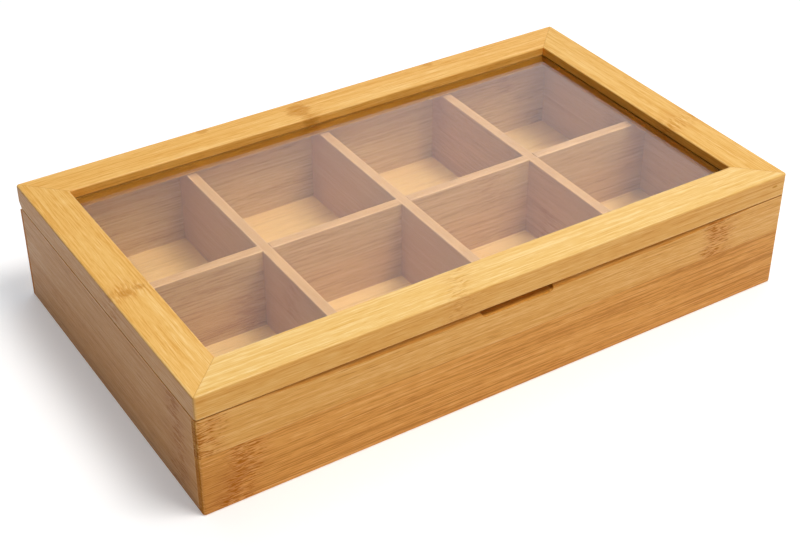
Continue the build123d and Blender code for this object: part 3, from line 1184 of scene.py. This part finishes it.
@dataclass
class Lid:
    """The mitred frame, its tongues and the pane."""

    nodes: dict
    pane: ClearFinish = field(default_factory=ClearFinish)
    rail_width: float = 20.5 * MM
    # Tints of painted shade and light for the rails' outer faces, inner faces above the pane and
    # those below it.
    long_shades: Shades = Shades(
        side=(0.88, 0.71, 0.48), inner=(1.09, 0.96, 0.68), under=(0.53, 0.43, 0.17)
    )
    short_shades: Shades = Shades(
        side=(0.60, 0.49, 0.43), inner=(1.15, 0.90, 0.36), under=(0.50, 0.35, 0.09)
    )

    def stains_and_shade(self) -> dict[str, tuple[StainOrShade, ...]]:
        """Brown marks at the nodes of each rail.

        Returns:
            The marks by the rail's name.
        """
        low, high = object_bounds()
        top = high.z
        return {
            "lid_front_rail": (StainOrShade(160.0 * MM, low.y, top - 5.6 * MM, 2.0 * MM, 0.8 * MM, 0.75),),
            "lid_back_rail": (
                StainOrShade(-10.5 * MM, high.y - 10.0 * MM, top, 8.0 * MM, 7.5 * MM, 0.54),
                StainOrShade(-8.5 * MM, high.y - 21.0 * MM, top, 6.5 * MM, 6.0 * MM, 0.42),
                StainOrShade(-64.5 * MM, high.y - 2.5 * MM, top, 4.0 * MM, 3.0 * MM, 0.40),
                StainOrShade(78.5 * MM, high.y - 2.5 * MM, top, 4.0 * MM, 3.0 * MM, 0.40),
            ),
            "lid_left_rail": (
                StainOrShade(-16.0 * MM, low.x + 7.5 * MM, top, 3.2 * MM, 4.0 * MM, 0.55),
                StainOrShade(-14.5 * MM, low.x + 15.0 * MM, top, 2.0 * MM, 3.5 * MM, 0.40),
            ),
            "lid_right_rail": (),
        }

    def build(self) -> None:
        """Dresses every rail, the tongues and the pane."""
        plans = {
            "lid_front_rail": RailPlan(Axis.X, -29.0 * MM, 12 * MM, tone=0.08, warm=0.0, shift=2.9),
            "lid_back_rail": RailPlan(Axis.X, -8.5 * MM, 2 * MM, tone=-0.13, warm=0.6, shift=8.3),
            "lid_left_rail": RailPlan(Axis.Y, -15.5 * MM, 2 * MM, tone=-0.11, warm=0.4, shift=12.1),
            "lid_right_rail": RailPlan(Axis.Y, -30.0 * MM, 3 * MM, tone=-0.26, warm=0.2, shift=17.9),
        }
        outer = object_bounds()[1]
        pane_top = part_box("lid_pane")[1].z
        stains_and_shade = self.stains_and_shade()
        for node, plan in plans.items():
            low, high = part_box(node)
            start, stop = low[plan.across.value] - MM, high[plan.across.value] + MM
            finish = BambooFinish(
                LID_BAMBOO, plan.along, plan.across,
                (Strip(start, stop, plan.tone, plan.warm, (plan.knot,), plan.lean),),
                shift=plan.shift,
                shades=self.long_shades if plan.along is Axis.X else self.short_shades,
                inner_from=outer[plan.across.value] - self.rail_width / 2, under_from=pane_top,
                stains_and_shade=stains_and_shade[node], mitred=True, knot_depth=0.38, halo_depth=0.30,
                knot_half_width=11 * MM, comb_share=0.04,
            )
            dress(self.nodes, node, finish.material(f"bamboo_{node}", low, high))
        low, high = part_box("lid_corner_splines")
        finish = BambooFinish(INNER_BAMBOO, Axis.X, Axis.Y, (Strip(low.y, high.y),), shift=33.3)
        dress(self.nodes, "lid_corner_splines", finish.material("bamboo_splines", low, high))
        dress(self.nodes, "lid_pane", self.pane.material("clear_acrylic"))


@dataclass
class Hinges:
    """Leaves, pins and screws of both hinges."""

    nodes: dict
    brass: BrassFinish = field(default_factory=BrassFinish)

    def build(self) -> None:
        """Dresses all metal pieces."""
        metal = self.brass.material("brushed_brass")
        for node in self.nodes:
            if node.endswith("_screws"):
                dress(self.nodes, node, self.brass.material(f"brass_{node}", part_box(node)))
            elif node.startswith("hinge_"):
                dress(self.nodes, node, metal)


@dataclass(frozen=True)
class SoftLamp:
    """A square lamp: where it stands, how wide and bright it is, and its colour."""

    name: str
    place: Point
    width: float
    power: float
    colour: Colour


@dataclass
class Studio:
    """Pale floor, soft lamps and the camera."""

    camera_place: Point = (-0.3656, -0.5724, 0.4836)
    camera_turn: float = 32.42
    camera_fall: float = 35.08
    focal_pixels: float = 1573.6
    image_width: float = 800.0
    sensor_width: float = 36.0
    clip_start: float = 0.01
    floor_half: float = 4.0
    floor_colour: Colour = (0.90, 0.90, 0.90)
    floor_mottle: float = 0.985
    floor_roughness: float = 0.9
    aim: Point = (0.0, 0.0, 0.03)
    lamps: tuple[SoftLamp, ...] = (
        SoftLamp("overhead", (0.1, 0.35, 1.5), width=1.6, power=8.0, colour=(0.95, 0.98, 1.0)),
        SoftLamp("key", (0.38, -0.6, 1.7), width=0.7, power=24.0, colour=(1.0, 0.965, 0.92)),
    )
    room: Colour = (0.12, 0.13, 0.15)
    window: Colour = (0.55, 0.62, 0.70)
    window_towards: Point = (0.44, 0.69, 0.57)
    window_edges: Levels = (0.72, 0.97)
    mirror_room: Colour = (0.26, 0.19, 0.13)
    glare: Colour = (1.10, 1.06, 1.12)
    glare_towards: Point = (0.62, 0.62, 0.48)
    glare_edges: Levels = (0.86, 0.99)
    backdrop: Colour = (1.0, 1.0, 1.0)
    floor_glow: float = 0.22
    far_glow: float = 0.80
    glow_reach: Levels = (0.7, 2.2)

    def floor(self) -> None:
        """A large plane with a faint mottle, which glows more the further it is from the box."""
        half = self.floor_half
        mesh = bpy.data.meshes.new("studio_floor")
        corners = [(-half, -half, 0.0), (half, -half, 0.0), (half, half, 0.0), (-half, half, 0.0)]
        mesh.from_pydata(corners, [], [(0, 1, 2, 3)])
        floor = bpy.data.objects.new("studio_floor", mesh)
        bpy.context.scene.collection.objects.link(floor)
        sheet = ShaderSheet("studio_paper")
        place = sheet.add("ShaderNodeTexCoord").outputs["Object"]
        mottle = sheet.noise(place)
        distance = sheet.add("ShaderNodeVectorMath", operation="LENGTH")
        sheet.feed(distance.inputs[0], place)
        paper = sheet.principled(Roughness=self.floor_roughness, Specular_IOR_Level=0.0)
        far = distance.outputs["Value"]
        glow = sheet.ramp(far, *self.glow_reach, self.floor_glow, self.far_glow)
        sheet.feed(paper.inputs["Emission Strength"], glow)
        sheet.feed(paper.inputs["Emission Color"], self.backdrop)
        dim = tuple(self.floor_mottle * part for part in self.floor_colour)
        sheet.feed(paper.inputs["Base Color"], sheet.mix(mottle, self.floor_colour, dim))
        sheet.feed(sheet.output.inputs["Surface"], paper.outputs[0])
        mesh.materials.append(sheet.material)
        floor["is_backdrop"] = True

    def world(self) -> None:
        """Dim room with a pale window and a white backdrop; mirrors see it warmer, with a glare."""
        world = bpy.data.worlds.new("studio_room")
        bpy.context.scene.world = world
        world.use_nodes = True
        tree = world.node_tree
        tree.nodes.clear()
        window = self._glow(tree, self.window_towards, self.window_edges)
        glare = self._glow(tree, self.glare_towards, self.glare_edges)
        path = tree.nodes.new("ShaderNodeLightPath")
        mirrored = tree.nodes.new("ShaderNodeMath")
        mirrored.operation = "MULTIPLY"
        tree.links.new(glare, mirrored.inputs[0])
        tree.links.new(path.outputs["Is Glossy Ray"], mirrored.inputs[1])
        colour = None
        layers = (
            (window, self.window),
            (path.outputs["Is Glossy Ray"], self.mirror_room),
            (mirrored.outputs[0], self.glare),
            (path.outputs["Is Camera Ray"], self.backdrop),
        )
        for share, layer_colour in layers:
            blend = tree.nodes.new("ShaderNodeMix")
            blend.data_type = "RGBA"
            blend.inputs["A"].default_value = (*self.room, 1.0)
            blend.inputs["B"].default_value = (*layer_colour, 1.0)
            tree.links.new(share, blend.inputs["Factor"])
            if colour:
                tree.links.new(colour, blend.inputs["A"])
            colour = blend.outputs["Result"]
        background = tree.nodes.new("ShaderNodeBackground")
        output = tree.nodes.new("ShaderNodeOutputWorld")
        tree.links.new(colour, background.inputs["Color"])
        tree.links.new(background.outputs[0], output.inputs["Surface"])

    def _glow(self, tree: bpy.types.NodeTree, towards: Point, edges: Levels) -> Socket:
        """Socket that rises from 0 to 1 as a direction nears another one.

        Args:
            tree: the world's node tree.
            towards: the direction of the glow's middle, of length 1.
            edges: cosines of the angles from it where the glow ends and where it is full.

        Returns:
            The socket.
        """
        place = tree.nodes.new("ShaderNodeTexCoord")
        dot = tree.nodes.new("ShaderNodeVectorMath")
        dot.operation = "DOT_PRODUCT"
        dot.inputs[1].default_value = towards
        spread = tree.nodes.new("ShaderNodeMapRange")
        spread.interpolation_type = "SMOOTHSTEP"
        spread.inputs["From Min"].default_value, spread.inputs["From Max"].default_value = edges
        tree.links.new(place.outputs["Generated"], dot.inputs[0])
        tree.links.new(dot.outputs["Value"], spread.inputs["Value"])
        return spread.outputs[0]

    def light(self) -> None:
        """Places the lamps and turns them to the box."""
        for lamp in self.lamps:
            data = bpy.data.lights.new(lamp.name, "AREA")
            data.shape = "SQUARE"
            data.size = lamp.width
            data.energy = lamp.power
            data.color = lamp.colour
            thing = bpy.data.objects.new(lamp.name, data)
            bpy.context.scene.collection.objects.link(thing)
            thing.location = lamp.place
            away = Vector(lamp.place) - Vector(self.aim)
            thing.rotation_euler = away.to_track_quat("Z", "Y").to_euler()

    def camera(self) -> None:
        """Camera at the photograph's angle."""
        data = bpy.data.cameras.new("camera")
        data.sensor_width = self.sensor_width
        data.lens = self.focal_pixels / self.image_width * self.sensor_width
        data.clip_start = self.clip_start
        thing = bpy.data.objects.new("camera", data)
        bpy.context.scene.collection.objects.link(thing)
        thing.location = self.camera_place
        tilt, turn = math.radians(90 - self.camera_fall), -math.radians(self.camera_turn)
        thing.rotation_euler = (tilt, 0.0, turn)
        bpy.context.scene.camera = thing

    def build(self) -> None:
        """Sets up the whole studio."""
        bpy.context.scene.view_settings.view_transform = "Standard"
        self.floor()
        self.world()
        self.light()
        self.camera()


def main() -> None:
    """Loads the frame, dresses the box and sets up the studio."""
    logging.basicConfig(level=logging.INFO, format="%(name)s: %(message)s")
    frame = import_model()
    for part in (Boards(frame["nodes"]), Lid(frame["nodes"]), Hinges(frame["nodes"]), Studio()):
        part.build()


if __name__ == "__main__":
    main()
